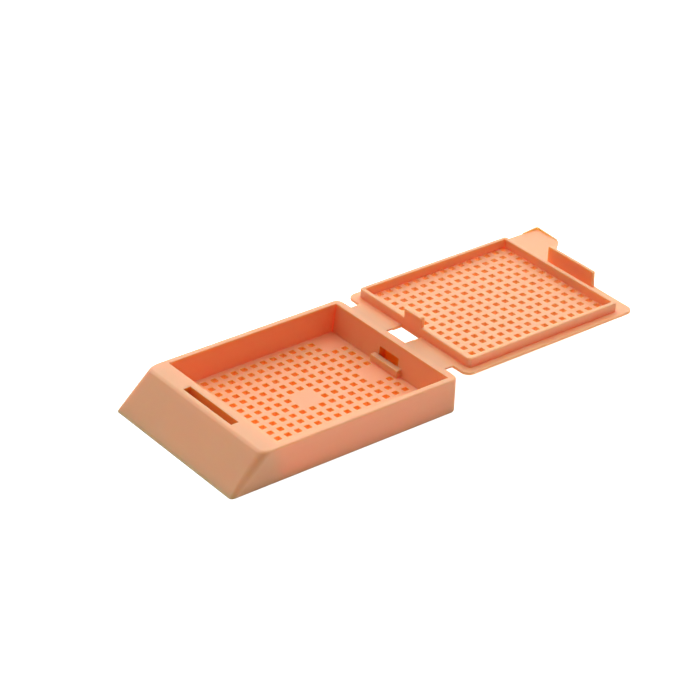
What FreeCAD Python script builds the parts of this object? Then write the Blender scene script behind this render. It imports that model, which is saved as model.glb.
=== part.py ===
import FreeCAD, Part
import math
import os

# Hinged tissue cassette, in millimetres, lying open as it leaves its mould.
# Origin: underside of the tray, below the middle of its perforated floor.
# +X runs from the writing slope to the hinge and the lid, +Z is up.

# --- hole pattern, shared by the tray floor and the lid plate -------------
hole_pitch = 1.80
hole_side = 0.95
hole_columns = 16              # along X
hole_rows = 14                 # along Y

# --- tray ------------------------------------------------------------------
tray_width = 28.5
tray_height = 5.6
tray_front = -23.87            # bottom front edge of the writing slope
tray_back = 16.88              # outer face of the end wall
slope_run = 5.4                # the writing slope leans back by this much
floor_thickness = 0.9
side_wall = 1.05
cavity_front_top = -15.14
cavity_front_low = -15.03
cavity_back_top = 15.63
cavity_back_low = 15.03
rear_corner_radius = 1.15
slope_edge_top_radius = 1.4    # side edges of the slope, rounder at the ridge
slope_edge_low_radius = 0.35
ridge_radius = 0.45

# --- hollow under the slope, open at the bottom ----------------------------
slope_wall = 1.1               # thickness measured square to the slope
hollow_back = -16.35
deck_thickness = 1.0

# --- latch slot through the deck --------------------------------------------
slot_front = -17.62
slot_back = hollow_back
slot_low_y = -5.57
slot_high_y = 6.10

# --- catch pocket for the lid's hook, inside the end wall --------------------
pocket_low_y = -2.3
pocket_high_y = 2.15
pocket_low = 1.2
pocket_high = 3.5
pocket_depth = 1.35
ledge_front = 14.3
ledge_low_y = -3.25
ledge_high_y = 3.0
ledge_top = 2.2                # hides the foot of the pocket behind it

# --- hinge --------------------------------------------------------------------
hinge_x = 17.38
hinge_lift = 0.025             # axis above the tray's top, so the lid shuts with a hair's gap
strap_low = (-11.0, -1.95)     # the two straps, along Y
strap_high = (2.5, 11.0)
strap_thickness = 0.5          # at the lid
strap_thin_end = 0.28          # at the hinge line and the tray
hinge_gap = 0.1                # half the groove between the two strap halves

# --- lid, in the same open position ---------------------------------------------
plate_top = tray_height
plate_thickness = 0.5
panel_drop = 0.25              # the perforated middle stands this far below the flange
panel_x = (20.2, 49.2)
panel_width = 25.2
panel_radius = 0.6
flange_start = 18.43
flange_end = 51.98
flange_width = 28.4
flange_radius = 1.4
rim_start = 19.81
rim_end = 49.53
rim_width = 25.94
rim_wall = 0.7
rim_height = 1.5
rim_corner_radius = 0.6
lid_holes_middle = 34.70

# --- hook on the hinge side of the rim ---------------------------------------------
hook_low_y = -1.85
hook_high_y = 2.2
hook_wall = 0.72
hook_height = 3.18
hook_lip = 0.15
hook_lip_height = 0.4
hook_chamfer = 0.15

# --- latch tongue on the lid's free end ------------------------------------------------
latch_low_y = -5.3
latch_high_y = 5.0
latch_wall = 0.65
latch_height = 2.7
latch_barb = 0.45
latch_barb_low = 1.05          # the barb's foot, above the plate
latch_barb_margin = 2.0        # the barb stops short of the tongue's ends

# --- thumb tab ------------------------------------------------------------------------
thumb_reach = 5.55
thumb_tip_low_y = 8.95
thumb_root_low_y = 4.5
thumb_corner_radius = 0.45
thumb_bead_width = 0.25
thumb_bead_height = 0.35
thumb_bead_start = 2.4         # distance from the flange's end to where the bead begins


def block(x, y, z):
    """Box between pairs of low and high limits."""
    size = (x[1] - x[0], y[1] - y[0], z[1] - z[0])
    return Part.makeBox(*size, FreeCAD.Vector(x[0], y[0], z[0]))


def side_prism(profile, y):
    """Solid with an X-Z profile, carried along Y."""
    points = [FreeCAD.Vector(px, y[0], pz) for px, pz in profile]
    wire = Part.makePolygon(points + points[:1])
    return Part.Face(wire).extrude(FreeCAD.Vector(0, y[1] - y[0], 0))


def plan_prism(outline, z):
    """Solid with an X-Y outline, carried along Z."""
    points = [FreeCAD.Vector(px, py, z[0]) for px, py in outline]
    wire = Part.makePolygon(points + points[:1])
    return Part.Face(wire).extrude(FreeCAD.Vector(0, 0, z[1] - z[0]))


def upright_edges(solid, test):
    """Edges parallel to Z whose X and Y satisfy the test."""
    found = []
    for edge in solid.Edges:
        a, b = edge.Vertexes[0].Point, edge.Vertexes[-1].Point
        if abs(a.x - b.x) < 1e-6 and abs(a.y - b.y) < 1e-6 and test(a.x, a.y):
            found.append(edge)
    return found


def rounded_block(x, y, z, radius):
    """Box whose four upright edges are rounded."""
    solid = block(x, y, z)
    return solid.makeFillet(radius, upright_edges(solid, lambda px, py: True))


def centred(width):
    return (-width / 2, width / 2)


def hole_centres(middle_x, blanks):
    """Centres of the square holes; blanks holds column and row pairs left solid."""
    centres = []
    for column in range(hole_columns):
        for row in range(hole_rows):
            if (column, row) in blanks:
                continue
            x = middle_x + (column - (hole_columns - 1) / 2) * hole_pitch
            y = (row - (hole_rows - 1) / 2) * hole_pitch
            centres.append((x, y))
    return centres


def hole_cutters(centres, z):
    half = hole_side / 2
    cutters = []
    for x, y in centres:
        cutters.append(block((x - half, x + half), (y - half, y + half), z))
    return Part.makeCompound(cutters)


def tray_blanks():
    """Two-by-two pads with no holes: the middle, both ends of the middle rows, the corners."""
    first_columns = (0, hole_columns // 2 - 1, hole_columns - 2)
    first_rows = (0, hole_rows // 2 - 1, hole_rows - 2)
    pads = [(column, row) for column in first_columns for row in first_rows]
    pads.remove((first_columns[1], first_rows[0]))
    pads.remove((first_columns[1], first_rows[2]))
    blanks = set()
    for column, row in pads:
        blanks |= {(column + i, row + j) for i in (0, 1) for j in (0, 1)}
    return blanks


def slope_side_edges(solid):
    """The two edges between the writing slope and the side walls."""
    found = []
    for edge in solid.Edges:
        a, b = edge.Vertexes[0].Point, edge.Vertexes[-1].Point
        leans = abs(abs(a.x - b.x) - slope_run) < 1e-6 and abs(abs(a.z - b.z) - tray_height) < 1e-6
        if leans:
            found.append(edge)
    return found


def tray_outer():
    ridge = tray_front + slope_run
    profile = [(tray_front, 0), (tray_back, 0), (tray_back, tray_height), (ridge, tray_height)]
    solid = side_prism(profile, centred(tray_width))
    rear = upright_edges(solid, lambda px, py: px > 0)
    solid = solid.makeFillet(rear_corner_radius, rear)
    for side in (-1, 1):
        edge = [e for e in slope_side_edges(solid) if e.CenterOfMass.y * side > 0][0]
        rises = edge.Vertexes[0].Point.z < edge.Vertexes[-1].Point.z
        radii = (slope_edge_low_radius, slope_edge_top_radius)
        radii = radii if rises else radii[::-1]
        solid = solid.makeFillet(*radii, [edge])
    ridge_edges = []
    for edge in solid.Edges:
        middle = edge.CenterOfMass
        on_ridge = abs(middle.x - ridge) < 0.05 and abs(middle.z - tray_height) < 0.05
        if on_ridge and edge.Length > tray_width / 2:
            ridge_edges.append(edge)
    return solid.makeFillet(ridge_radius, ridge_edges)


def tray_cavity():
    profile = [(cavity_front_low, floor_thickness), (cavity_back_low, floor_thickness)]
    profile += [(cavity_back_top, tray_height), (cavity_back_top, tray_height + 1)]
    profile += [(cavity_front_top, tray_height + 1), (cavity_front_top, tray_height)]
    return side_prism(profile, centred(tray_width - 2 * side_wall))


def slope_hollow():
    """Wedge under the slope and the deck, open at the bottom."""
    lean = slope_run / tray_height
    wall_run = slope_wall * math.hypot(slope_run, tray_height) / tray_height
    top = tray_height - deck_thickness
    front_low = tray_front + wall_run - lean
    profile = [(front_low, -1), (hollow_back, -1), (hollow_back, top)]
    profile.append((tray_front + wall_run + lean * top, top))
    return side_prism(profile, centred(tray_width - 2 * side_wall))


def catch_pocket():
    """Recess in the end wall that the hook's lip snaps into."""
    x = (ledge_front, cavity_back_low + pocket_depth)
    return block(x, (pocket_low_y, pocket_high_y), (pocket_low, pocket_high))


def ledge():
    """Low step at the foot of the end wall, in front of the pocket."""
    x = (ledge_front, cavity_back_low + 0.3)
    return block(x, (ledge_low_y, ledge_high_y), (floor_thickness - 0.2, ledge_top))


def strap_half(y, root_x, root_thickness):
    """Half of a hinge strap, from its root to the hinge groove."""
    way = 1 if root_x < hinge_x else -1
    tip_x = hinge_x - way * hinge_gap
    overlap_x = root_x - way * 0.3
    low = tray_height - root_thickness
    thin_low = tray_height - strap_thin_end
    profile = [(overlap_x, tray_height), (tip_x, tray_height), (tip_x, thin_low)]
    profile += [(root_x, low), (overlap_x, low)]
    return side_prism(profile, y)


def make_tray():
    tray = tray_outer().cut(tray_cavity())
    tray = tray.cut(slope_hollow())
    slot_z = (tray_height - deck_thickness - 0.5, tray_height + 1)
    tray = tray.cut(block((slot_front, slot_back), (slot_low_y, slot_high_y), slot_z))
    tray = tray.cut(catch_pocket()).fuse(ledge())
    straps = [strap_half(y, tray_back, strap_thin_end) for y in (strap_low, strap_high)]
    tray = tray.fuse(straps)
    tray = tray.removeSplitter()
    holes = hole_cutters(hole_centres(0.0, tray_blanks()), (-1, floor_thickness + 0.5))
    return tray.cut(holes)


def lid_rim():
    z = (plate_top - plate_thickness, plate_top + rim_height)
    outer = rounded_block((rim_start, rim_end), centred(rim_width), z, rim_corner_radius)
    x = (rim_start + rim_wall, rim_end - rim_wall)
    inner = block(x, centred(rim_width - 2 * rim_wall), (z[0] - 1, z[1] + 1))
    return outer.cut(inner)


def lid_hook():
    """Upright hook over the window between the straps, its lip towards the hinge."""
    top = plate_top + hook_height
    low = plate_top - plate_thickness
    face = rim_start
    lip = face - hook_lip
    lip_low = top - hook_lip_height
    profile = [(face, low), (face, lip_low - hook_chamfer), (lip, lip_low), (lip, top - hook_chamfer)]
    profile += [(lip + hook_chamfer, top), (face + hook_wall, top), (face + hook_wall, low)]
    return side_prism(profile, (hook_low_y, hook_high_y))


def lid_latch():
    """Thin upright tongue at the free end, with a barb on its outer face."""
    face = flange_end
    top = plate_top + latch_height
    barb_low = plate_top + latch_barb_low
    back = face - latch_wall
    tongue = [(back, plate_top - 0.2), (face, plate_top - 0.2), (face, top - 0.6)]
    tongue += [(face - 0.15, top), (back, top)]
    barb = [(back, barb_low), (face, barb_low), (face + latch_barb, barb_low + 0.1)]
    barb += [(face, top - 0.6), (back, top - 0.6)]
    barb_y = (latch_low_y + latch_barb_margin, latch_high_y - latch_barb_margin)
    return side_prism(tongue, (latch_low_y, latch_high_y)).fuse(side_prism(barb, barb_y))


def thumb_tab():
    high_y = flange_width / 2
    tip_x = flange_end + thumb_reach
    outline = [(flange_end - 1.0, thumb_root_low_y), (flange_end, thumb_root_low_y)]
    outline += [(tip_x, thumb_tip_low_y), (tip_x, high_y), (flange_end - 1.0, high_y)]
    z = (plate_top - plate_thickness, plate_top + thumb_bead_height)
    solid = plan_prism(outline, z)
    corners = upright_edges(solid, lambda px, py: abs(px - tip_x) < 1e-6)
    solid = solid.makeFillet(thumb_corner_radius, corners)
    bead_x = flange_end + thumb_bead_start
    keep_x = tip_x - thumb_bead_width
    keep_y = high_y - thumb_bead_width
    above = (plate_top, plate_top + 1)
    solid = solid.cut(block((flange_end - 2, bead_x), (0, high_y + 1), above))
    return solid.cut(block((flange_end - 2, keep_x), (0, keep_y), above))


def make_lid():
    plate_z = (plate_top - plate_thickness, plate_top)
    plate = rounded_block((flange_start, flange_end), centred(flange_width), plate_z, flange_radius)
    window_x = (flange_start - 1, rim_start)
    plate = plate.cut(block(window_x, (strap_low[1], strap_high[0]), (0, tray_height + 0.5)))
    panel_z = (plate_z[0] - panel_drop, plate_z[0] + 0.1)
    panel = rounded_block(panel_x, centred(panel_width), panel_z, panel_radius)
    lid = plate.fuse([panel, lid_rim(), lid_hook(), lid_latch(), thumb_tab()])
    straps = [strap_half(y, flange_start, strap_thickness) for y in (strap_low, strap_high)]
    lid = lid.fuse(straps).removeSplitter()
    holes = hole_cutters(hole_centres(lid_holes_middle, set()), (panel_z[0] - 1, plate_top + 1))
    return lid.cut(holes)


def main():
    os.makedirs("parts", exist_ok=True)
    for name, shape in (("tray", make_tray()), ("lid", make_lid())):
        print(name, "solids", len(shape.Solids), "valid", shape.isValid(),
              "volume", round(shape.Volume, 1), "faces", len(shape.Faces))
        shape.Solids[0].exportStep("parts/" + name + ".step")


main()
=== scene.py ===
import math

import bmesh
import bpy
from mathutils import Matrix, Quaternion, Vector


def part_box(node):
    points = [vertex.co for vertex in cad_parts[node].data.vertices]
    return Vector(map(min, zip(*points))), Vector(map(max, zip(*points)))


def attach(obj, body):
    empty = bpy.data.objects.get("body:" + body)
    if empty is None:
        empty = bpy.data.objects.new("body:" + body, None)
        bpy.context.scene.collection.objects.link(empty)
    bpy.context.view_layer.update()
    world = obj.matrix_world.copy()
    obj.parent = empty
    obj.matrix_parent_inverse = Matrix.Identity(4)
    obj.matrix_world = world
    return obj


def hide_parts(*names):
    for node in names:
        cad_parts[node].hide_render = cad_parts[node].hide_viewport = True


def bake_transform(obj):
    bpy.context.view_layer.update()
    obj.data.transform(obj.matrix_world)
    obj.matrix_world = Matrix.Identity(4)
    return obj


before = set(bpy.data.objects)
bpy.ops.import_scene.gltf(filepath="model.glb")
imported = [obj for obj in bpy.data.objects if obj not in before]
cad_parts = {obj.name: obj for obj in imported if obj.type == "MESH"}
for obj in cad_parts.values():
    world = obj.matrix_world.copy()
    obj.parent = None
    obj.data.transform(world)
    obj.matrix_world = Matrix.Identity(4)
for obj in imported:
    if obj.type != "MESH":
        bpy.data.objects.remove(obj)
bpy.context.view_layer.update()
trayLow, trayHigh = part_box("tray")
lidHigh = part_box("lid")[1]
mm = 0.001     # pieces are modelled in millimetres and brought to metres when they are finished
near = 0.01     # how far from a place, in millimetres, still counts as at it
fine = 0.001     # the same where softened edges lie close by
square = 0.9     # least part of a direction along an axis that counts as facing or running that way
plateArea = 200     # square millimetres: only faces that a perforated plate replaces are larger


# picking and shaping in edit mode

softening = {
    "sharpAngle": 0.3,     # radians
    "smoothAngle": 40,     # degrees
    "steps": 3,
}


def clearSelection():
    bpy.ops.object.select_all(action="DESELECT")


def selectOnly(piece):
    clearSelection()
    piece.select_set(True)
    bpy.context.view_layer.objects.active = piece


def startEdit(piece):
    selectOnly(piece)
    bpy.ops.object.mode_set(mode="EDIT")


def endEdit():
    bpy.ops.object.mode_set(mode="OBJECT")


def middle(item):
    if isinstance(item, bmesh.types.BMVert):
        return item.co
    if isinstance(item, bmesh.types.BMEdge):
        return (item.verts[0].co + item.verts[1].co) / 2
    return item.calc_center_median()


def pick(kind, test):     # selects only what passes; the test gets an item's middle and the item
    bpy.ops.mesh.select_mode(type=kind)
    bpy.ops.mesh.select_all(action="DESELECT")
    mesh = bpy.context.edit_object.data
    shape = bmesh.from_edit_mesh(mesh)
    for item in {"VERT": shape.verts, "EDGE": shape.edges, "FACE": shape.faces}[kind]:
        if test(middle(item), item):
            item.select_set(True)
    shape.select_flush_mode()
    bmesh.update_edit_mesh(mesh)


def at(value, place, slack=near):
    return abs(value - place) < slack


def within(value, span, slack=0.0):
    return span[0] - slack < value < span[1] + slack


def looks(face, way):     # front is the writing slope's side, back the hinge's
    x, z = face.normal.x, face.normal.z
    return {"up": z, "down": -z, "front": -x, "back": x}[way] > square


def along(edge):     # direction of an edge, signs dropped
    run = (edge.verts[1].co - edge.verts[0].co).normalized()
    return Vector((abs(run.x), abs(run.y), abs(run.z)))


def upright(edge):
    return along(edge).z > square


def isSharp(edge):
    return len(edge.link_faces) == 2 and edge.calc_face_angle() > softening["sharpAngle"]


def cut(axis, place, test):     # a straight cut across the faces that pass the test
    pick("FACE", test)
    normal = [0, 0, 0]
    normal["xyz".index(axis)] = 1
    point = [place * n for n in normal]
    bpy.ops.mesh.bisect(plane_co=point, plane_no=normal, threshold=0.0001)


def slide(x=0.0, y=0.0, z=0.0):
    bpy.ops.transform.translate(value=(x, y, z))


def extrude(x=0.0, y=0.0, z=0.0):
    bpy.ops.mesh.extrude_region_move(TRANSFORM_OT_translate={"value": (x, y, z)})


def roundPicked(radius, steps):
    bpy.ops.mesh.bevel(offset=radius, segments=steps, affect="EDGES", clamp_overlap=False)


def soften(radius, test):     # marks sharp edges with the radius that softenEdges gives them
    pick("EDGE", lambda c, e: isSharp(e) and test(c, e))
    bpy.ops.transform.edge_bevelweight(value=radius)


def softenConvex(radius, test):
    soften(radius, lambda c, e: e.is_convex and test(c, e))


def applyModifiers(piece):
    selectOnly(piece)
    for modifier in list(piece.modifiers):
        bpy.ops.object.modifier_apply(modifier=modifier.name)


def softenEdges(piece):
    bevel = piece.modifiers.new("softEdges", "BEVEL")
    bevel.limit_method = "WEIGHT"
    bevel.width = 1.0     # so that an edge's weight is its radius
    bevel.segments = softening["steps"]
    bevel.use_clamp_overlap = False
    applyModifiers(piece)


def addBlock(name, x, y, z):
    clearSelection()
    place = [(low + high) / 2 for low, high in (x, y, z)]
    size = [high - low for low, high in (x, y, z)]
    bpy.ops.mesh.primitive_cube_add(size=1, location=place)
    block = bpy.context.object
    block.name = name
    block.scale = size
    bpy.ops.object.transform_apply(location=True, rotation=True, scale=True)
    return block


def toMetres(piece):
    selectOnly(piece)
    piece.scale = (mm, mm, mm)
    bpy.ops.object.transform_apply(location=True, rotation=True, scale=True)


def shade(piece):     # broad faces stay flat, rounded edges run smoothly into them
    selectOnly(piece)
    bpy.ops.object.shade_smooth_by_angle(angle=math.radians(softening["smoothAngle"]))
    weighted = piece.modifiers.new("flatFaces", "WEIGHTED_NORMAL")
    weighted.keep_sharp = True
    applyModifiers(piece)


# perforated plates of the tray floor and the lid

holes = {
    "pitch": 1.80,
    "side": 0.95,
    "columns": 16,
    "rows": 14,
    "cornerCut": 0.12,
    "edgeRadius": 0.07,
    "edgeSteps": 2,
}


def gridHalf():     # half the length and half the width of the grid of holes
    return holes["columns"] * holes["pitch"] / 2, holes["rows"] * holes["pitch"] / 2


def overGrid(point, plateMiddle):
    halfX, halfY = gridHalf()
    return abs(point.x - plateMiddle) < halfX and abs(point.y) < halfY


def cellOf(point, plateMiddle):
    column = round((point.x - plateMiddle) / holes["pitch"] + (holes["columns"] - 1) / 2)
    row = round(point.y / holes["pitch"] + (holes["rows"] - 1) / 2)
    return column, row


def atCellMiddle(point, plateMiddle):
    column, row = cellOf(point, plateMiddle)
    x = plateMiddle + (column - (holes["columns"] - 1) / 2) * holes["pitch"]
    y = (row - (holes["rows"] - 1) / 2) * holes["pitch"]
    return at(point.x, x) and at(point.y, y)


def blankPads():     # two by two cells that stay solid in the tray floor
    firstColumns = (0, holes["columns"] // 2 - 1, holes["columns"] - 2)
    firstRows = (0, holes["rows"] // 2 - 1, holes["rows"] - 2)
    pads = [(column, row) for column in firstColumns for row in firstRows]
    pads.remove((firstColumns[1], firstRows[0]))
    pads.remove((firstColumns[1], firstRows[2]))
    return {(column + i, row + j) for column, row in pads for i in (0, 1) for j in (0, 1)}


def makePlate(name, plateMiddle, top, bottom, edgeX, edgeY, blanks):
    halfX, halfY = gridHalf()
    holeSides = 8     # a square with its corners cut
    clearSelection()
    bpy.ops.mesh.primitive_grid_add(x_subdivisions=holes["columns"], y_subdivisions=holes["rows"],
                                    size=1, location=(plateMiddle, 0, top))
    plate = bpy.context.object
    plate.name = name
    plate.scale = (2 * halfX, 2 * halfY, 1)
    bpy.ops.object.transform_apply(location=True, rotation=True, scale=True)
    startEdit(plate)
    pick("FACE", lambda c, f: cellOf(c, plateMiddle) not in blanks)
    bpy.ops.mesh.inset(thickness=(holes["pitch"] - holes["side"]) / 2, use_individual=True)
    bpy.ops.mesh.bevel(offset=holes["cornerCut"], segments=1, affect="VERTICES")
    for side, edge in zip((-1, 1), edgeX):     # outer border brought to the walls around it
        pick("VERT", lambda c, v: at(c.x - plateMiddle, side * halfX))
        bpy.ops.transform.resize(value=(0, 1, 1), center_override=(edge, 0, top))
    for side in (-1, 1):
        pick("VERT", lambda c, v: at(c.y, side * halfY))
        bpy.ops.transform.resize(value=(1, 0, 1), center_override=(0, side * edgeY, top))
    pick("FACE", lambda c, f: len(f.verts) == holeSides and atCellMiddle(c, plateMiddle))
    extrude(z=bottom - top)
    bpy.ops.mesh.delete(type="ONLY_FACE")
    pick("FACE", lambda c, f: c.z > top - near)     # the same sheet again for the underside
    bpy.ops.mesh.duplicate()
    slide(z=bottom - top)
    bpy.ops.mesh.flip_normals()
    bpy.ops.mesh.select_all(action="SELECT")
    bpy.ops.mesh.remove_doubles(threshold=fine)
    pick("EDGE", lambda c, e: isSharp(e) and (c.z > top - fine or c.z < bottom + fine))
    roundPicked(holes["edgeRadius"], holes["edgeSteps"])
    endEdit()
    return plate


def joinPlate(shell, plate, top, bottom):     # the plate is welded into the opening left for it
    selectOnly(shell)
    plate.select_set(True)
    bpy.ops.object.join()
    startEdit(shell)
    for level in (top, bottom):
        pick("EDGE", lambda c, e: e.is_boundary and at(c.z, level, fine))
        bpy.ops.mesh.fill(use_beauty=True)
    bpy.ops.mesh.select_all(action="SELECT")
    bpy.ops.mesh.normals_make_consistent(inside=False)
    endEdit()


# hinge straps: short ends on the tray and the lid, and a thin web between them, where the real
# strap bends, kept flat here

web = {
    "bend": (16.98, 17.78),
    "low": (-11.0, -1.95),
    "high": (2.5, 11.0),
    "root": 0.34,
    "thin": 0.28,
    "parts": 12,
}


# tray

tray = {
    "front": trayLow.x / mm,
    "back": 16.88,
    "halfWidth": trayHigh.y / mm,
    "height": trayHigh.z / mm,
    "slopeRun": 5.4,
    "floorTop": 0.9,
    "cavityHalfWidth": 13.2,
    "cavityTop": (-15.14, 15.63),
    "cavityLow": (-15.03, 15.03),
    "rearRadius": 1.15,
    "rearSteps": 8,
    "slopeEdgeRadius": 1.4,
    "slopeEdgeSteps": 6,
    "slopeEdgeLowShare": 0.42,     # of the radius, at the bottom
    "turnBack": -16.24,     # the ridge has turned into the sides before this
    "hollowBack": -16.35,
    "hollowFrontLow": -22.34,
    "hollowFrontTop": -17.91,
    "deckUnder": 4.6,
    "slotFront": -17.62,
    "slotY": (-5.57, 6.10),
    "pocketZ": (1.2, 3.5),
    "pocketY": (-2.3, 2.15),
    "pocketBack": 16.5,
    "ledgeFront": 14.3,
    "ledgeY": (-3.25, 3.0),
    "ledgeTop": 2.2,
    "plateGap": 0.05,
    "ridgeRadius": 0.45,
    "topRadius": 0.3,
    "backRadius": 0.15,
    "bottomRadius": 0.12,
    "innerRadius": 0.14,
    "slotRadius": 0.1,
    "hollowRadius": 0.12,
    "pocketRadius": 0.08,
    "ledgeRadius": 0.12,
}


def shapeOutside():
    front, back, half = tray["front"], tray["back"], tray["halfWidth"]
    pick("VERT", lambda c, v: c.x < front + near and c.z > near)
    slide(x=tray["slopeRun"])     # the writing slope leans back
    pick("EDGE", lambda c, e: c.x > back - near and upright(e))
    roundPicked(tray["rearRadius"], tray["rearSteps"])
    pick("EDGE", lambda c, e: along(e).x > near and along(e).z > near)     # the slope's two sides
    roundPicked(tray["slopeEdgeRadius"], tray["slopeEdgeSteps"])
    reach = 2 * tray["slopeEdgeRadius"]
    for side in (-1, 1):     # the rounded sides sharpen towards the bottom
        pick("VERT", lambda c, v: c.z < near and c.x < front + reach and c.y * side > half - reach)
        bpy.ops.transform.resize(value=(tray["slopeEdgeLowShare"],) * 3,
                                 center_override=(front, side * half, 0))


def shapeCavity():
    low, high = tray["cavityTop"]
    side, height = tray["cavityHalfWidth"], tray["height"]
    upper = lambda c, f: looks(f, "up") and at(c.z, height)
    cut("x", low, upper)
    cut("x", high, lambda c, f: upper(c, f) and c.x > low)
    for edge in (-side, side):
        cut("y", edge, lambda c, f: upper(c, f) and low < c.x < high)
    pick("FACE", lambda c, f: upper(c, f) and low < c.x < high and abs(c.y) < side)
    extrude(z=tray["floorTop"] - height)
    for top, foot in zip(tray["cavityTop"], tray["cavityLow"]):     # end walls lean a little
        pick("VERT", lambda c, v: at(c.z, tray["floorTop"]) and at(c.x, top))
        slide(x=foot - top)


def shapeHollow():     # wedge under the slope, and the slot for the lid's latch
    front, back = tray["hollowFrontLow"], tray["hollowBack"]
    side, under, height = tray["cavityHalfWidth"], tray["deckUnder"], tray["height"]
    bottom = lambda c, f: looks(f, "down") and c.z < near
    cut("x", back, bottom)
    cut("x", front, lambda c, f: bottom(c, f) and c.x < back)
    for edge in (-side, side):
        cut("y", edge, lambda c, f: bottom(c, f) and front < c.x < back)
    pick("FACE", lambda c, f: bottom(c, f) and front < c.x < back and abs(c.y) < side)
    extrude(z=under)
    pick("VERT", lambda c, v: at(c.z, under) and c.x < back - near)
    slide(x=tray["hollowFrontTop"] - front)
    for level, way in ((height, "up"), (under, "down")):
        deck = lambda c, f: at(c.z, level) and looks(f, way) and c.x < tray["cavityTop"][0]
        slot = lambda c, f: deck(c, f) and within(c.y, tray["slotY"])
        for edge in tray["slotY"]:
            cut("y", edge, deck)
        cut("x", tray["slotFront"], slot)
        if way == "up":
            cut("x", back, lambda c, f: slot(c, f) and c.x > tray["slotFront"])
    pick("FACE", lambda c, f: tray["slotFront"] < c.x < back and within(c.y, tray["slotY"])
         and (at(c.z, height) or at(c.z, under)))
    bpy.ops.mesh.bridge_edge_loops()


def shapeCatch():     # pocket for the lid's hook, and the ledge standing in front of its foot
    low, high = tray["pocketZ"]
    ledge, ledgeFront, floorTop = tray["ledgeTop"], tray["ledgeFront"], tray["floorTop"]
    foot, head = tray["cavityLow"][1], tray["cavityTop"][1]     # of the leaning wall
    wall = lambda c, f: looks(f, "front") and within(c.x, (foot, head), near)
    inPocket = lambda c: within(c.y, tray["pocketY"]) and low < c.z < high
    onLedge = lambda c: within(c.y, tray["ledgeY"])
    cut("z", low, wall)
    cut("z", ledge, lambda c, f: wall(c, f) and c.z > low)
    cut("z", high, lambda c, f: wall(c, f) and c.z > ledge)
    for edge in tray["pocketY"]:
        cut("y", edge, lambda c, f: wall(c, f) and c.z < high)
    for edge in tray["ledgeY"]:
        cut("y", edge, lambda c, f: wall(c, f) and c.z < ledge)
    pick("FACE", lambda c, f: wall(c, f) and inPocket(c))
    extrude(x=tray["pocketBack"] - head)
    bpy.ops.transform.resize(value=(0, 1, 1), center_override=(tray["pocketBack"], 0, 0))
    floor = lambda c, f: looks(f, "up") and at(c.z, floorTop)
    cut("x", ledgeFront, floor)
    for edge in (*tray["ledgeY"], *tray["pocketY"]):
        cut("y", edge, lambda c, f: floor(c, f) and c.x > ledgeFront)
    pick("FACE", lambda c, f: floor(c, f) and c.x > ledgeFront and onLedge(c))
    extrude(z=low - floorTop)
    extrude(z=ledge - low)
    lean = (head - foot) / (tray["height"] - floorTop)
    for level in (low, ledge):     # the ledge's back is brought to the wall
        pick("VERT", lambda c, v: at(c.z, level, fine) and at(c.x, foot, fine))
        slide(x=lean * (level - floorTop))
    pick("FACE", lambda c, f: floorTop < c.z < ledge and within(c.x, (foot, head), near)
         and onLedge(c) and not inPocket(c) and (looks(f, "front") or looks(f, "back")))
    bpy.ops.mesh.delete(type="FACE")
    bpy.ops.mesh.select_all(action="SELECT")
    bpy.ops.mesh.remove_doubles(threshold=fine)


def shapeTrayStraps():     # the tray's ends of the two hinge straps
    back, under = tray["back"], tray["height"] - web["root"]
    wall = lambda c, f: looks(f, "back") and c.x > back - near
    strip = lambda c, f: wall(c, f) and c.z > under
    cut("z", under, wall)
    for low, high in (web["low"], web["high"]):
        cut("y", low, strip)
        cut("y", high, lambda c, f: strip(c, f) and c.y > low)
        pick("FACE", lambda c, f: strip(c, f) and low < c.y < high)
        extrude(x=web["bend"][0] - back)


def softenTray():
    top, half, side = tray["height"] - fine, tray["halfWidth"], tray["cavityHalfWidth"] + near
    foot, head = tray["cavityLow"][1], tray["cavityTop"][1]
    radius, steps = tray["slopeEdgeRadius"], tray["slopeEdgeSteps"]
    turn = half - radius     # where the ridge starts to turn into the side
    inCavity = lambda c: within(c.x, tray["cavityTop"], near) and abs(c.y) < side
    inSlot = lambda c: (within(c.x, (tray["slotFront"], tray["hollowBack"]), near)
                        and within(c.y, tray["slotY"], near))
    onRidge = lambda c: c.x < tray["front"] + tray["slopeRun"] + near
    onTurn = lambda c: turn < abs(c.y) < half - near and c.x < tray["turnBack"]
    soften(tray["ridgeRadius"], lambda c, e: c.z > top and onRidge(c) and abs(c.y) < turn)
    marks = [turn + radius * math.sin(math.radians(90 * k / steps)) for k in range(steps + 1)]
    for k in range(steps):     # round the turn the ridge's radius shrinks to the side's
        share = (k + 0.5) / steps
        soften(tray["ridgeRadius"] + (tray["topRadius"] - tray["ridgeRadius"]) * share,
               lambda c, e: c.z > top and onTurn(c) and marks[k] < abs(c.y) < marks[k + 1])
    soften(tray["topRadius"], lambda c, e: c.z > top and c.x < tray["back"] - near
           and not (onRidge(c) or onTurn(c) or inCavity(c) or inSlot(c)))
    soften(tray["backRadius"], lambda c, e: c.z > top and at(c.x, tray["back"])
           and along(e).y > square)
    soften(tray["innerRadius"], lambda c, e: c.z > top and inCavity(c))
    soften(tray["slotRadius"], lambda c, e: c.z > top and inSlot(c))
    outside = lambda c: abs(c.y) > side or not within(c.x, (tray["hollowFrontLow"], head), near)
    soften(tray["bottomRadius"], lambda c, e: c.z < fine and outside(c))
    soften(tray["hollowRadius"], lambda c, e: c.z < fine and not outside(c))
    softenConvex(tray["pocketRadius"], lambda c, e: foot < c.x < head
                 and within(c.y, tray["pocketY"], near)
                 and tray["ledgeTop"] + near < c.z < tray["pocketZ"][1] + near)
    softenConvex(tray["ledgeRadius"], lambda c, e: at(c.z, tray["ledgeTop"], fine) and c.x < foot)


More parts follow.
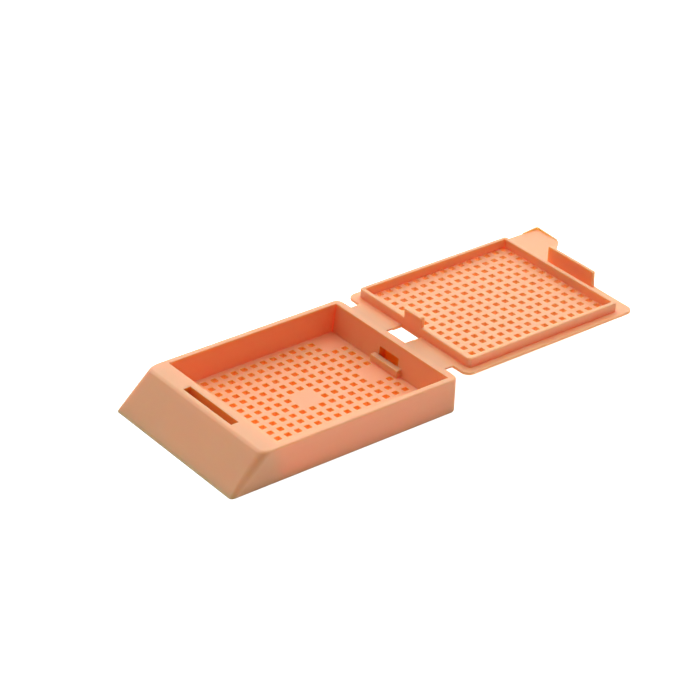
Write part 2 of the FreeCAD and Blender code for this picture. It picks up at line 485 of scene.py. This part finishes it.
def makeTray():
    shell = addBlock("trayShell", (tray["front"], tray["back"]),
                     (-tray["halfWidth"], tray["halfWidth"]), (0, tray["height"]))
    startEdit(shell)
    shapeOutside()
    shapeCavity()
    shapeHollow()
    shapeCatch()
    shapeTrayStraps()
    softenTray()
    endEdit()
    softenEdges(shell)
    startEdit(shell)
    pick("FACE", lambda c, f: looks(f, "up") and at(c.z, tray["floorTop"], fine)
         or looks(f, "down") and c.z < fine and f.calc_area() > plateArea)
    bpy.ops.mesh.delete(type="FACE")     # opening for the perforated floor
    endEdit()
    halfX, halfY = gridHalf()
    edgeX = (-halfX, tray["ledgeFront"] - tray["plateGap"])
    plate = makePlate("trayFloor", 0, tray["floorTop"], 0, edgeX, halfY, blankPads())
    joinPlate(shell, plate, tray["floorTop"], 0)
    return shell


# lid

lid = {
    "start": 18.43,
    "end": 51.98,
    "top": 5.6,
    "thickness": 0.5,
    "halfWidth": lidHigh.y / mm,
    "cornerRadius": 1.4,
    "cornerSteps": 8,
    "windowY": (-1.95, 2.5),
    "rimX": (19.81, 49.53),
    "rimHalfWidth": 12.97,
    "rimWall": 0.7,
    "rimHeight": 1.5,
    "rimCornerRadius": 0.6,
    "rimCornerSteps": 5,
    "plateMiddle": 34.70,
    "plateGap": (0.04, 0.02),
    "panelX": (20.2, 49.2),
    "panelHalfWidth": 12.6,
    "panelDrop": 0.25,
    "panelCornerRadius": 0.6,
    "panelCornerSteps": 4,
    "hookY": (-1.85, 2.2),
    "hookTop": 8.78,
    "hookLip": 0.15,
    "hookLipHeight": 0.4,
    "latchY": (-5.3, 5.0),
    "latchWall": 0.65,
    "latchTop": 8.3,
    "latchTipBack": 0.15,
    "barbReach": 0.45,
    "barbMargin": 2.0,
    "barbEnd": 0.3,
    "barbZ": (6.65, 6.75, 7.7),
    "thumbReach": 5.55,
    "thumbRootY": 4.5,
    "thumbTipY": 8.95,
    "thumbCornerRadius": 0.45,
    "thumbCornerSteps": 6,
    "beadStart": 2.4,
    "beadWidth": 0.25,
    "beadHeight": 0.35,
    "beadFoot": 0.1,
    "edgeRadius": 0.15,
    "rimEdgeRadius": 0.18,
    "hookCornerRadius": 0.35,
    "hookEdgeRadius": 0.1,
    "latchCornerRadius": 0.4,
    "latchEdgeRadius": 0.1,
    "beadEdgeRadius": 0.05,
    "panelEdgeRadius": 0.12,
}
flangeUnder = lid["top"] - lid["thickness"]
panelUnder = flangeUnder - lid["panelDrop"]


def onTop(c, f):
    return looks(f, "up") and at(c.z, lid["top"], fine)


def shapeFlange():     # with the thumb tab at its far corner
    half, end, tip = lid["halfWidth"], lid["end"], lid["end"] + lid["thumbReach"]
    pick("EDGE", lambda c, e: upright(e) and not (c.x > end - near and c.y > 0))
    roundPicked(lid["cornerRadius"], lid["cornerSteps"])
    cut("y", lid["thumbRootY"], lambda c, f: looks(f, "back"))
    pick("FACE", lambda c, f: looks(f, "back") and c.x > end - near and c.y > lid["thumbRootY"])
    extrude(x=lid["thumbReach"])
    pick("VERT", lambda c, v: c.x > tip - near and c.y < half - near)
    slide(y=lid["thumbTipY"] - lid["thumbRootY"])
    pick("EDGE", lambda c, e: upright(e) and c.x > tip - near)
    roundPicked(lid["thumbCornerRadius"], lid["thumbCornerSteps"])


def shapeWindow():     # opening in the flange between the straps
    low, high = lid["windowY"]
    side, rimStart = lid["rimHalfWidth"], lid["rimX"][0]
    for level, first, last in ((lid["top"], -side, side), (flangeUnder, low, high)):
        sheet = lambda c, f: (at(c.z, level, fine) and abs(f.normal.z) > square
                              and c.x < lid["end"])
        cut("y", first, sheet)
        cut("y", last, sheet)
        cut("x", rimStart, lambda c, f: sheet(c, f) and first < c.y < last)
        for edge in (low, high):
            cut("y", edge, lambda c, f: sheet(c, f) and c.x < rimStart and first < c.y < last)
    for edge in (low, high):
        cut("y", edge, lambda c, f: looks(f, "front"))
    pick("FACE", lambda c, f: c.x < rimStart and low < c.y < high)
    bpy.ops.mesh.delete(type="FACE")
    pick("EDGE", lambda c, e: e.is_boundary and not upright(e))
    bpy.ops.mesh.bridge_edge_loops()


def shapeLidStraps():     # the lid's ends of the two hinge straps
    start, top = lid["start"], lid["top"]
    face = lambda c, f: looks(f, "front") and c.x < start + near
    for low, high in (web["low"], web["high"]):
        cut("y", low if low < 0 else high, face)     # the other side is the window's
        pick("FACE", lambda c, f: face(c, f) and low < c.y < high)
        extrude(x=web["bend"][1] - start)
    pick("VERT", lambda c, v: c.x < start - near and c.z < top - near)
    slide(z=lid["thickness"] - web["thin"])


def shapeRim():
    start, end = lid["rimX"]
    side, rise = lid["rimHalfWidth"], lid["top"] + lid["rimHeight"]
    inside = lambda c, f: onTop(c, f) and start < c.x < end and abs(c.y) < side
    cut("x", end, lambda c, f: onTop(c, f) and start < c.x < lid["end"] and abs(c.y) < side)
    pick("FACE", inside)
    bpy.ops.mesh.inset(thickness=lid["rimWall"])
    pick("FACE", lambda c, f: inside(c, f) and f.calc_area() < plateArea)
    extrude(z=lid["rimHeight"])
    pick("EDGE", lambda c, e: upright(e) and e.is_convex and lid["top"] < c.z < rise
         and at(abs(c.y), side))
    roundPicked(lid["rimCornerRadius"], lid["rimCornerSteps"])


def shapeHook():     # upright hook over the window, its lip towards the hinge
    start, rise = lid["rimX"][0], lid["top"] + lid["rimHeight"]
    rimTop = lambda c, f: looks(f, "up") and at(c.z, rise, fine) and c.x < start + lid["rimWall"]
    for edge in lid["hookY"]:
        cut("y", edge, rimTop)
    pick("FACE", lambda c, f: rimTop(c, f) and within(c.y, lid["hookY"]))
    extrude(z=lid["hookTop"] - rise)
    face = lambda c, f: (looks(f, "front") and at(c.x, start) and c.z > rise
                         and within(c.y, lid["hookY"]))
    lipFoot = lid["hookTop"] - lid["hookLipHeight"] - lid["hookLip"]
    cut("z", lipFoot, face)
    pick("FACE", lambda c, f: face(c, f) and c.z > lipFoot)
    extrude(x=-lid["hookLip"])
    pick("VERT", lambda c, v: c.x < start - near and at(c.z, lipFoot))
    slide(z=lid["hookLip"])


def shapeLatch():     # thin tongue at the free end with a barb on its outer face
    end, (low, high) = lid["end"], lid["latchY"]
    foot = end - lid["latchWall"]
    strip = lambda c, f: onTop(c, f) and lid["rimX"][1] < c.x < end
    for edge in (low, high):
        cut("y", edge, strip)
    cut("x", foot, lambda c, f: strip(c, f) and low < c.y < high)
    pick("FACE", lambda c, f: strip(c, f) and c.x > foot and low < c.y < high)
    extrude(z=lid["latchTop"] - lid["top"])
    outer = lambda c, f: (looks(f, "back") and at(c.x, end) and c.z > lid["top"]
                          and low < c.y < high)
    first, last = low + lid["barbMargin"], high - lid["barbMargin"]
    crest = (first + lid["barbEnd"], last - lid["barbEnd"])
    for edge in (first, *crest, last):
        cut("y", edge, outer)
    for level in lid["barbZ"]:
        cut("z", level, lambda c, f: outer(c, f) and first < c.y < last)
    across = lambda c, e: along(e).y > square and at(c.x, end)
    pick("EDGE", lambda c, e: across(c, e) and at(c.z, lid["barbZ"][1]) and within(c.y, crest))
    slide(x=lid["barbReach"])
    pick("EDGE", lambda c, e: across(c, e) and at(c.z, lid["latchTop"]))
    slide(x=-lid["latchTipBack"])


def shapeThumbBead():     # low bead along the tab's two outer edges, highest at the corner
    first = lid["end"] + lid["beadStart"]
    last = lid["thumbTipY"] + lid["thumbCornerRadius"]
    keepX = lid["end"] + lid["thumbReach"] - lid["beadWidth"]
    keepY = lid["halfWidth"] - lid["beadWidth"]
    cut("x", first, lambda c, f: onTop(c, f) and c.x > lid["end"])
    tab = lambda c, f: onTop(c, f) and c.x > first
    cut("y", keepY, tab)
    cut("y", last, lambda c, f: tab(c, f) and c.y < keepY)
    cut("x", keepX, lambda c, f: tab(c, f) and last < c.y < keepY)
    pick("FACE", lambda c, f: tab(c, f) and (c.x > keepX and c.y > last or c.y > keepY))
    extrude(z=lid["beadHeight"])
    pick("VERT", lambda c, v: c.z > lid["top"] + near
         and (at(c.x, first) or c.x > first and c.y < last + near))
    slide(z=lid["beadFoot"] - lid["beadHeight"])


def shapePanel():     # the perforated middle stands a little proud underneath
    low, high = lid["panelX"]
    side = lid["panelHalfWidth"]
    flat = lambda c, f: looks(f, "down") and at(c.z, flangeUnder, fine)
    cut("x", low, lambda c, f: flat(c, f) and c.x > lid["rimX"][0])
    cut("x", high, lambda c, f: flat(c, f) and c.x > low)
    for edge in (-side, side):
        cut("y", edge, lambda c, f: flat(c, f) and low < c.x < high)
    pick("FACE", lambda c, f: flat(c, f) and low < c.x < high and abs(c.y) < side)
    extrude(z=-lid["panelDrop"])
    pick("EDGE", lambda c, e: upright(e) and c.z < flangeUnder)
    roundPicked(lid["panelCornerRadius"], lid["panelCornerSteps"])


def softenLid():
    top, rise = lid["top"], lid["top"] + lid["rimHeight"]
    hook = lambda c: c.z > rise + near and c.x < lid["plateMiddle"]
    hookTop = lambda c, e: hook(c) and along(e).x > square and at(c.z, lid["hookTop"])
    latch = lambda c: c.z > top + lid["beadHeight"] + near and c.x > lid["rimX"][1] + near
    latchTop = lambda c, e: latch(c) and along(e).x > square and at(c.z, lid["latchTop"])
    softenConvex(lid["edgeRadius"], lambda c, e: c.x > lid["start"] - near
                 and (at(c.z, top, fine) or at(c.z, flangeUnder, fine)))
    softenConvex(lid["rimEdgeRadius"], lambda c, e: at(c.z, rise, fine))
    softenConvex(lid["hookCornerRadius"], hookTop)
    softenConvex(lid["hookEdgeRadius"], lambda c, e: hook(c) and not hookTop(c, e))
    softenConvex(lid["latchCornerRadius"], latchTop)
    softenConvex(lid["latchEdgeRadius"], lambda c, e: latch(c) and not latchTop(c, e))
    softenConvex(lid["beadEdgeRadius"], lambda c, e: c.z > top + lid["beadFoot"] + near
                 and c.x > lid["end"] + lid["beadStart"] - near)
    softenConvex(lid["panelEdgeRadius"], lambda c, e: at(c.z, panelUnder, fine))


def makeLid():
    shell = addBlock("lidShell", (lid["start"], lid["end"]),
                     (-lid["halfWidth"], lid["halfWidth"]), (flangeUnder, lid["top"]))
    startEdit(shell)
    shapeFlange()
    shapeWindow()
    shapeLidStraps()
    shapeRim()
    shapeHook()
    shapeLatch()
    shapeThumbBead()
    shapePanel()
    softenLid()
    endEdit()
    softenEdges(shell)
    startEdit(shell)
    pick("FACE", lambda c, f: at(c.z, panelUnder, fine)
         or looks(f, "up") and f.calc_area() > plateArea)
    bpy.ops.mesh.delete(type="FACE")     # opening for the perforated plate
    endEdit()
    wall, (gapX, gapY) = lid["rimWall"], lid["plateGap"]
    edgeX = (lid["rimX"][0] + wall + gapX, lid["rimX"][1] - wall - gapX)
    edgeY = lid["rimHalfWidth"] - wall - gapY
    plate = makePlate("lidPlate", lid["plateMiddle"], lid["top"], panelUnder, edgeX, edgeY, set())
    joinPlate(shell, plate, lid["top"], panelUnder)
    return shell


# webs of the hinge, flat strips cut into parts along their length

def makeWeb(name, y):
    top, (first, last) = lid["top"], web["bend"]
    piece = addBlock(name, web["bend"], y, (top - web["thin"], top))
    startEdit(piece)
    for k in range(1, web["parts"]):
        cut("x", first + (last - first) * k / web["parts"], lambda c, f: abs(f.normal.x) < square)
    endEdit()
    return piece


# painted shade: a deeper, more saturated orange painted into narrow openings, standing in for the
# light that bounces in and passes through the plastic there

paintedCavityShade = {
    # painted shade colour, more saturated than the acetal's own
    "color": (1.0, 0.38, 0.07),
    "trayShare": 1.0,
    "lidShare": 0.5,
    "facing": 0.8,
    "slotRim": 0.12,     # left plain at the slot's top
    "slotBackZ": (0.2, 5.0),
    "pocketFront": 15.2,
}


# where the painted shade goes in the tray: hole walls, the slot and its back, and the hook's pocket
def inTrayOpening(c, normal):
    wall = abs(normal.z) < paintedCavityShade["facing"]
    inHole = wall and overGrid(c, 0) and c.z < tray["floorTop"] - near
    inFront = c.x < tray["hollowBack"] + near and abs(c.y) < tray["cavityHalfWidth"] + near
    inSlot = (wall and inFront and c.x > tray["slotFront"] - near
              and within(c.y, tray["slotY"], near) and c.z < tray["height"] - paintedCavityShade["slotRim"])
    slotBack = (inFront and c.x > tray["hollowBack"] - near and normal.x < -paintedCavityShade["facing"]
                and within(c.z, paintedCavityShade["slotBackZ"]))
    inPocket = (paintedCavityShade["pocketFront"] < c.x < tray["pocketBack"] + near
                and within(c.y, tray["pocketY"], near) and within(c.z, tray["pocketZ"], near))
    return inHole or inSlot or slotBack or inPocket


# where the painted shade goes in the lid: the walls of its holes
def inLidHole(c, normal):
    return (overGrid(c, lid["plateMiddle"]) and panelUnder < c.z < lid["top"]
            and abs(normal.z) < paintedCavityShade["facing"])


# painted shade: each face gets the share of the deeper orange it is painted with
def markPaintedShade(piece, test, share):
    paintedShade = piece.data.attributes.new("paintedShade", "FLOAT", "FACE")
    for face in piece.data.polygons:
        paintedShade.data[face.index].value = share if test(face.center, face.normal) else 0.0


# moulded acetal

acetal = {
    "color": (0.99, 0.455, 0.232),
    "roughness": (0.45, 0.57),
    "specular": 0.7,
    "ior": 1.48,
    "scatterWeight": 1.0,
    "scatterRadius": (1.7, 1.0, 0.55),
    "scatterScale": 0.001,
    "webScatterScale": 0.00005,
    "grainScale": 3500,
    "grainDetail": 4,
    "bumpStrength": 0.35,
    "bumpDepth": 0.00002,
}


def makeAcetal(name, scatterScale):
    material = bpy.data.materials.new(name)
    material.use_nodes = True
    nodes, links = material.node_tree.nodes, material.node_tree.links
    shader = nodes["Principled BSDF"]
    place = nodes.new("ShaderNodeTexCoord")
    grain = nodes.new("ShaderNodeTexNoise")
    grain.inputs["Scale"].default_value = acetal["grainScale"]
    grain.inputs["Detail"].default_value = acetal["grainDetail"]
    sheen = nodes.new("ShaderNodeMapRange")
    sheen.inputs["To Min"].default_value = acetal["roughness"][0]
    sheen.inputs["To Max"].default_value = acetal["roughness"][1]
    bump = nodes.new("ShaderNodeBump")
    bump.inputs["Strength"].default_value = acetal["bumpStrength"]
    bump.inputs["Distance"].default_value = acetal["bumpDepth"]
    links.new(place.outputs["Object"], grain.inputs["Vector"])
    links.new(grain.outputs["Fac"], sheen.inputs["Value"])
    links.new(sheen.outputs["Result"], shader.inputs["Roughness"])
    links.new(grain.outputs["Fac"], bump.inputs["Height"])
    links.new(bump.outputs["Normal"], shader.inputs["Normal"])
    # painted shade: the base colour is mixed towards the deeper orange by each face's share
    paintedShade = nodes.new("ShaderNodeAttribute")
    paintedShade.attribute_name = "paintedShade"
    color = nodes.new("ShaderNodeMix")
    color.data_type = "RGBA"
    color.inputs["A"].default_value = (*acetal["color"], 1)
    color.inputs["B"].default_value = (*paintedCavityShade["color"], 1)
    links.new(paintedShade.outputs["Fac"], color.inputs["Factor"])
    links.new(color.outputs["Result"], shader.inputs["Base Color"])
    shader.inputs["Subsurface Weight"].default_value = acetal["scatterWeight"]
    shader.inputs["Subsurface Radius"].default_value = acetal["scatterRadius"]
    shader.inputs["Subsurface Scale"].default_value = scatterScale
    shader.inputs["IOR"].default_value = acetal["ior"]
    shader.inputs["Specular IOR Level"].default_value = acetal["specular"]
    return material


# floor, light and camera

studio = {
    "ambient": 0.03,
    "backStrength": 1.9,
    "backRise": 1.0,
    "backSpread": (0.354, 0.707),
    "frontStrength": 0.02,
    "frontRise": 0.5,
    "frontSpread": (0.447, 0.894),
    "floorSize": 3,
    "floorParts": 4,
    "floorDrop": 0.00005,
    "floorColor": 0.95,
    "floorGlow": 0.9,
    "floorLight": 0.18,
    "underLight": 0.05,
    "holeLight": 0.4,
    "lidLight": 0.2,
    "floorFade": 0.001,
    "skyColor": (1.0, 0.97, 0.98),
}


def addFootprint(tree, low, high, inside, outside):     # a value in a rectangle, another around it
    place = tree.nodes.new("ShaderNodeTexCoord")
    offset = tree.nodes.new("ShaderNodeVectorMath")
    offset.operation = "SUBTRACT"
    offset.inputs[1].default_value = (low + high) / 2
    fold = tree.nodes.new("ShaderNodeVectorMath")
    fold.operation = "ABSOLUTE"
    past = tree.nodes.new("ShaderNodeVectorMath")
    past.operation = "SUBTRACT"
    past.inputs[1].default_value = (high - low) / 2
    sides = tree.nodes.new("ShaderNodeSeparateXYZ")
    farthest = tree.nodes.new("ShaderNodeMath")
    farthest.operation = "MAXIMUM"
    value = tree.nodes.new("ShaderNodeMapRange")
    value.inputs["From Max"].default_value = studio["floorFade"]
    value.inputs["To Min"].default_value = inside
    value.inputs["To Max"].default_value = outside
    tree.links.new(place.outputs["Object"], offset.inputs[0])
    tree.links.new(offset.outputs[0], fold.inputs[0])
    tree.links.new(fold.outputs[0], past.inputs[0])
    tree.links.new(past.outputs[0], sides.inputs[0])
    tree.links.new(sides.outputs["X"], farthest.inputs[0])
    tree.links.new(sides.outputs["Y"], farthest.inputs[1])
    tree.links.new(farthest.outputs[0], value.inputs["Value"])
    return value.outputs["Result"]


def makeFloor():
    clearSelection()
    parts = studio["floorParts"]
    bpy.ops.mesh.primitive_grid_add(x_subdivisions=parts, y_subdivisions=parts,
                                    size=studio["floorSize"], location=(0, 0, -studio["floorDrop"]))
    floor = bpy.context.object
    floor.name = "floor"
    bpy.ops.object.transform_apply(location=True, rotation=True, scale=True)
    material = bpy.data.materials.new("paleFloor")
    material.use_nodes = True
    tree = material.node_tree
    nodes, links = tree.nodes, tree.links
    nodes.remove(nodes["Principled BSDF"])
    paint = nodes.new("ShaderNodeBsdfDiffuse")
    paint.inputs["Color"].default_value = (studio["floorColor"],) * 3 + (1,)
    glow = nodes.new("ShaderNodeEmission")
    path = nodes.new("ShaderNodeLightPath")
    halfX, halfY = gridHalf()
    grid, lidMiddle = Vector((halfX * mm, halfY * mm, 0)), Vector((lid["plateMiddle"] * mm, 0, 0))
    around = addFootprint(tree, trayLow, trayHigh, studio["underLight"], studio["floorLight"])
    below = addFootprint(tree, -grid, grid, studio["holeLight"], 0)
    belowLid = addFootprint(tree, lidMiddle - grid, lidMiddle + grid, studio["lidLight"], 0)
    lit = nodes.new("ShaderNodeMath")
    total = nodes.new("ShaderNodeMath")
    strength = nodes.new("ShaderNodeMapRange")
    strength.inputs["To Max"].default_value = studio["floorGlow"]
    both = nodes.new("ShaderNodeAddShader")
    links.new(around, lit.inputs[0])
    links.new(below, lit.inputs[1])
    links.new(lit.outputs[0], total.inputs[0])
    links.new(belowLid, total.inputs[1])
    links.new(total.outputs[0], strength.inputs["To Min"])
    links.new(path.outputs["Is Camera Ray"], strength.inputs["Value"])
    links.new(strength.outputs["Result"], glow.inputs["Strength"])
    links.new(paint.outputs[0], both.inputs[0])
    links.new(glow.outputs[0], both.inputs[1])
    links.new(both.outputs[0], nodes["Material Output"].inputs["Surface"])
    floor.data.materials.append(material)


def addGlow(tree, place, direction, spread, strength):     # a soft patch of sky around a direction
    facing = tree.nodes.new("ShaderNodeVectorMath")
    facing.operation = "DOT_PRODUCT"
    facing.inputs[1].default_value = direction.normalized()
    patch = tree.nodes.new("ShaderNodeMapRange")
    patch.interpolation_type = "SMOOTHSTEP"
    patch.inputs["From Min"].default_value, patch.inputs["From Max"].default_value = spread
    patch.inputs["To Max"].default_value = strength
    tree.links.new(place.outputs["Generated"], facing.inputs[0])
    tree.links.new(facing.outputs["Value"], patch.inputs["Value"])
    return patch.outputs["Result"]


def makeWorld():     # bright high behind the cassette, faint before it, white for the camera
    world = bpy.data.worlds.new("studio")
    bpy.context.scene.world = world
    world.use_nodes = True
    nodes, links = world.node_tree.nodes, world.node_tree.links
    place = nodes.new("ShaderNodeTexCoord")
    azimuth = math.radians(view["azimuth"])
    behind = Vector((-math.sin(azimuth), math.cos(azimuth), studio["backRise"]))
    before = Vector((math.sin(azimuth), -math.cos(azimuth), studio["frontRise"]))
    back = addGlow(world.node_tree, place, behind, studio["backSpread"], studio["backStrength"])
    front = addGlow(world.node_tree, place, before, studio["frontSpread"], studio["frontStrength"])
    lit = nodes.new("ShaderNodeMath")
    total = nodes.new("ShaderNodeMath")
    total.inputs[1].default_value = studio["ambient"]
    links.new(back, lit.inputs[0])
    links.new(front, lit.inputs[1])
    links.new(lit.outputs[0], total.inputs[0])
    sky, white = nodes["Background"], nodes.new("ShaderNodeBackground")
    sky.inputs["Color"].default_value = (*studio["skyColor"], 1)
    white.inputs["Color"].default_value = (1, 1, 1, 1)
    path = nodes.new("ShaderNodeLightPath")
    seen = nodes.new("ShaderNodeMixShader")
    links.new(total.outputs[0], sky.inputs["Strength"])
    links.new(path.outputs["Is Camera Ray"], seen.inputs[0])
    links.new(sky.outputs[0], seen.inputs[1])
    links.new(white.outputs[0], seen.inputs[2])
    links.new(seen.outputs[0], nodes["World Output"].inputs["Surface"])


view = {
    "target": (9.3183, 1.7551, 5.0854),
    "azimuth": -39.406,
    "elevation": 30.509,
    "roll": 2.3586,
    "distance": 372.162,
    "lens": 129.68,
    "sensor": 36,
    "clip": (0.01, 10),
}


def makeCamera():
    data = bpy.data.cameras.new("camera")
    camera = bpy.data.objects.new("camera", data)
    bpy.context.scene.collection.objects.link(camera)
    azimuth, elevation = math.radians(view["azimuth"]), math.radians(view["elevation"])
    back = Vector((math.sin(azimuth) * math.cos(elevation),
                   -math.cos(azimuth) * math.cos(elevation), math.sin(elevation)))
    camera.location = (Vector(view["target"]) + back * view["distance"]) * mm
    camera.rotation_mode = "QUATERNION"
    roll = Quaternion((0, 0, 1), math.radians(view["roll"]))
    camera.rotation_quaternion = (-back).to_track_quat("-Z", "Y") @ roll
    data.lens = view["lens"]
    data.sensor_width = view["sensor"]
    data.clip_start, data.clip_end = view["clip"]
    bpy.context.scene.camera = camera


# the pieces

plastic = makeAcetal("peachAcetal", acetal["scatterScale"])
webPlastic = makeAcetal("peachAcetalWeb", acetal["webScatterScale"])     # too thin to scatter in
trayShell = makeTray()
print("tray shaped:", len(trayShell.data.polygons), "faces")
lidShell = makeLid()
print("lid shaped:", len(lidShell.data.polygons), "faces")
webs = [makeWeb("hingeWebNear", web["low"]), makeWeb("hingeWebFar", web["high"])]
# painted shade in the openings of tray and lid
markPaintedShade(trayShell, inTrayOpening, paintedCavityShade["trayShare"])
markPaintedShade(lidShell, inLidHole, paintedCavityShade["lidShare"])
for piece in (trayShell, lidShell, *webs):
    toMetres(piece)
    shade(piece)
    piece.data.materials.clear()
    piece.data.materials.append(webPlastic if piece in webs else plastic)
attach(trayShell, "tray")
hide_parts("tray")
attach(lidShell, "lid")
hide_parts("lid")
for piece in webs:
    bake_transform(piece)

makeFloor()
makeWorld()
makeCamera()
bpy.context.scene.view_settings.view_transform = "Standard"
print("floor, light and camera placed")
